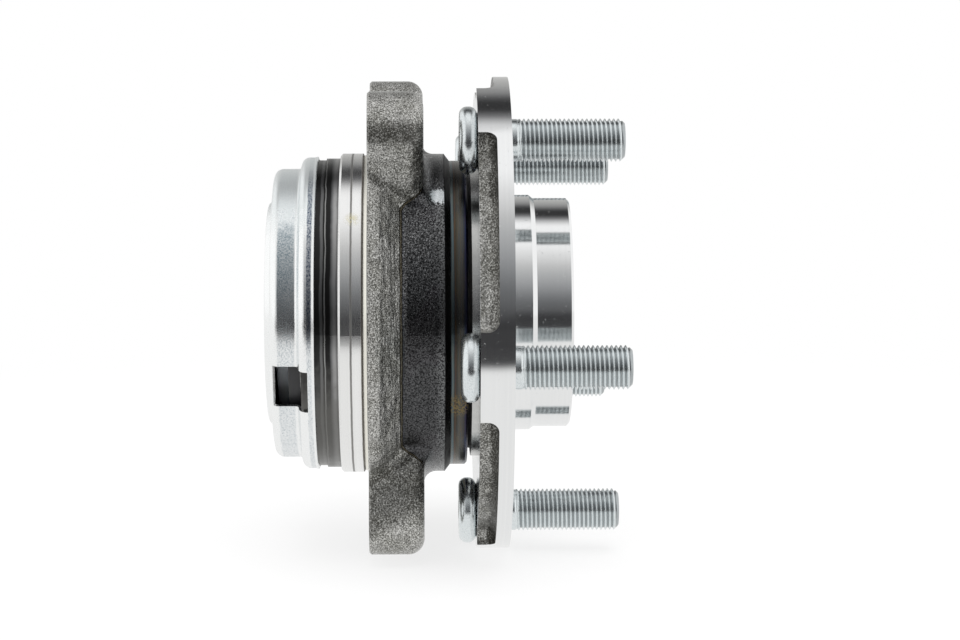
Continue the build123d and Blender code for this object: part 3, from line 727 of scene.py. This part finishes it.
studLook = {
    "count": 5, "circle": 57.15, "phase": -7.2,
    "sides": 96, "sharpAngle": 38,
    "headRadius": 9.4, "headBack": -14.3, "headFront": -9.3, "headFillet": 2.2,
    "dimpleDepth": 0.35, "dimpleFloor": 2.0, "dimpleRadius": 2.6,
    "splineRadius": 6.5, "splineRoot": 6.2, "splineTeeth": 24, "splineEnd": -1.7, "splineRunOut": 0.4,
    "collarRadius": 5.9, "collarEnd": 1.6,
    "threadRadius": 6.0, "pitch": 1.25, "tip": 31.8, "tipChamfer": 1.3, "runIn": 1.9,
}
# the thread's section over one pitch: how far along it, and how far below the crest
threadSection = [(-0.08, 0.035), (-0.03, 0.0), (0.03, 0.0), (0.08, 0.035),
                 (0.37, 0.67), (0.44, 0.74), (0.56, 0.74), (0.63, 0.67)]


def filletRows(centreRadius, centreStation, size, start, end, steps):
    rows = []
    for step in range(steps + 1):
        turn = math.radians(start + (end - start) * step / steps)
        rows.append((centreStation + size * math.sin(turn), centreRadius + size * math.cos(turn)))
    return rows


def studRows(look):
    # each row gives a station and a radius for an angle round the stud
    head = look["headFillet"]
    backCorner = filletRows(look["headRadius"] - head, look["headBack"] + head, head, -90, 0, 8)
    frontCorner = filletRows(look["headRadius"] - head, look["headFront"] - head, head, 0, 90, 8)
    dimple = look["headBack"] + look["dimpleDepth"]
    plain = [(dimple, 0.0), (dimple, look["dimpleFloor"]), (look["headBack"], look["dimpleRadius"])]
    plain += backCorner + frontCorner
    rows = [lambda turn, row=row: row for row in plain]

    def splined(station, share):
        def row(turn):
            wave = 0.5 + 0.5 * math.cos(turn * look["splineTeeth"])
            tooth = look["splineRoot"] + (look["splineRadius"] - look["splineRoot"]) * wave
            return station, look["collarRadius"] + (tooth - look["collarRadius"]) * share
        return row

    rows += [splined(look["headFront"], 1), splined(look["splineEnd"] - look["splineRunOut"], 1),
             splined(look["splineEnd"], 0)]

    def threaded(index, depth):
        def row(turn):
            station = look["collarEnd"] + look["pitch"] * (index + turn / (2 * math.pi))
            station = min(max(station, look["collarEnd"]), look["tip"])
            share = min(1, (station - look["collarEnd"]) / look["runIn"])
            radius = look["collarRadius"] + (look["threadRadius"] - depth - look["collarRadius"]) * share
            return station, min(radius, look["threadRadius"] - (station - look["tip"] + look["tipChamfer"]))
        return row

    turns = math.ceil((look["tip"] - look["collarEnd"]) / look["pitch"]) + 1
    for index in range(-2, turns):
        rows += [threaded(index + share, depth) for share, depth in threadSection]
    rows.append(lambda turn: (look["tip"], 0.0))
    return rows


mergeReach = 0.002 * mm          # points closer than this are one point


def smoothed(form, mesh, sharpAngle, finish):
    # edges sharper than the angle stay crisp
    for face in form.faces:
        face.smooth = True
    form.to_mesh(mesh)
    form.free()
    mesh.set_sharp_from_angle(angle=math.radians(sharpAngle))
    mesh.materials.append(finishes[finish])
    return mesh


def makeStudMesh(look):
    mesh = bpy.data.meshes.new("wheelStud")
    form = bmesh.new()
    grid = []
    for row in studRows(look):
        ring = []
        for side in range(look["sides"] + 1):
            turn = 2 * math.pi * side / look["sides"]
            station, radius = row(turn)
            ring.append(form.verts.new(
                (radius * mm * math.cos(turn), station * mm, -radius * mm * math.sin(turn))))
        grid.append(ring)
    for low, high in zip(grid, grid[1:]):
        for side in range(look["sides"]):
            form.faces.new((low[side], low[side + 1], high[side + 1], high[side]))
    bmesh.ops.remove_doubles(form, verts=form.verts, dist=mergeReach)
    bmesh.ops.dissolve_degenerate(form, edges=form.edges, dist=mergeReach)
    bmesh.ops.recalc_face_normals(form, faces=form.faces)
    return smoothed(form, mesh, look["sharpAngle"], "studZinc")


capShape = {
    # the sheet's outer side, from the skirt's flared lip to the middle of the end: radius, station, bend
    "path": [(45.15, -54.4, 0.0), (44.9, -55.3, 1.2), (44.9, -59.0, 2.3), (41.6, -59.0, 0.9),
             (41.6, -66.8, 2.4), (33.0, -66.8, 1.0), (31.4, -68.7, 1.4), (0.0, -68.7, 0.0)],
    "sheet": 0.8, "sides": 240, "bendSteps": 7, "sharpAngle": 32,
    "windowAngle": -21.7, "windowHalf": 6.4, "windowStart": -56.3, "windowEnd": -66.0, "windowSides": 12,
}


def bendPath(path, steps):
    # the points of a path whose corners are rounded by the bends given with them;
    # slerp gives a direction, so the bend's radius scales it
    points = [Vector(path[0][:2])]
    for before, corner, after in zip(path, path[1:], path[2:]):
        here = Vector(corner[:2])
        inward = (Vector(before[:2]) - here).normalized()
        outward = (Vector(after[:2]) - here).normalized()
        half = inward.angle(outward) / 2
        reach = corner[2] / math.tan(half)
        centre = here + (inward + outward).normalized() * corner[2] / math.sin(half)
        start, end = here + inward * reach, here + outward * reach
        for step in range(steps + 1):
            points.append(centre + (start - centre).slerp(end - centre, step / steps) * corner[2])
    points.append(Vector(path[-1][:2]))
    return points


def capRows(shape):
    # rows fall on the ends of the window, so that its faces can be left out
    rows = []
    for point in bendPath(shape["path"], shape["bendSteps"]):
        for edge in (shape["windowStart"], shape["windowEnd"]):
            if rows and rows[-1].y > edge > point.y:
                share = (rows[-1].y - edge) / (rows[-1].y - point.y)
                rows.append(rows[-1].lerp(point, share))
        rows.append(point)
    return rows


def makeCapMesh(shape):
    mesh = bpy.data.meshes.new("sensorCap")
    form = bmesh.new()
    middle = math.radians(shape["windowAngle"])
    grid = []
    for radius, station in capRows(shape):
        half = math.asin(min(1, shape["windowHalf"] / max(radius, 2 * shape["windowHalf"])))
        sides = shape["windowSides"]
        turns = [middle - half + 2 * half * side / sides for side in range(sides)]
        rest = shape["sides"] - sides
        turns += [middle + half + (2 * math.pi - 2 * half) * side / rest for side in range(rest)]
        grid.append([
            form.verts.new((radius * mm * math.cos(turn), station * mm, radius * mm * math.sin(turn)))
            for turn in turns])
    for low, high in zip(grid, grid[1:]):
        middleStation = (low[0].co.y + high[0].co.y) / 2 / mm
        for side in range(shape["sides"]):
            if side < shape["windowSides"] and shape["windowEnd"] < middleStation < shape["windowStart"]:
                continue
            follow = (side + 1) % shape["sides"]
            form.faces.new((low[side], low[follow], high[follow], high[side]))
    bmesh.ops.remove_doubles(form, verts=form.verts, dist=mergeReach)
    bmesh.ops.recalc_face_normals(form, faces=form.faces)
    bmesh.ops.solidify(form, geom=form.faces, thickness=shape["sheet"] * mm)
    return smoothed(form, mesh, shape["sharpAngle"], "capZinc")


cap = bpy.data.objects.new("drawnCap", makeCapMesh(capShape))
bpy.context.scene.collection.objects.link(cap)
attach(cap, "outer_ring")
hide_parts("sensor_cap")
print("cap made,", len(cap.data.vertices), "points")

studMesh = makeStudMesh(studLook)
for index in range(studLook["count"]):
    angle = math.radians(studLook["phase"] + index * 360 / studLook["count"])
    stud = bpy.data.objects.new(f"threadedStud_{index + 1}", studMesh)
    reach = studLook["circle"] * mm
    stud.location = (reach * math.cos(angle), 0, reach * math.sin(angle))
    bpy.context.scene.collection.objects.link(stud)
    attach(stud, "hub")
    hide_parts(f"wheel_stud_{index + 1}")
print("studs made,", len(studMesh.vertices), "points each")
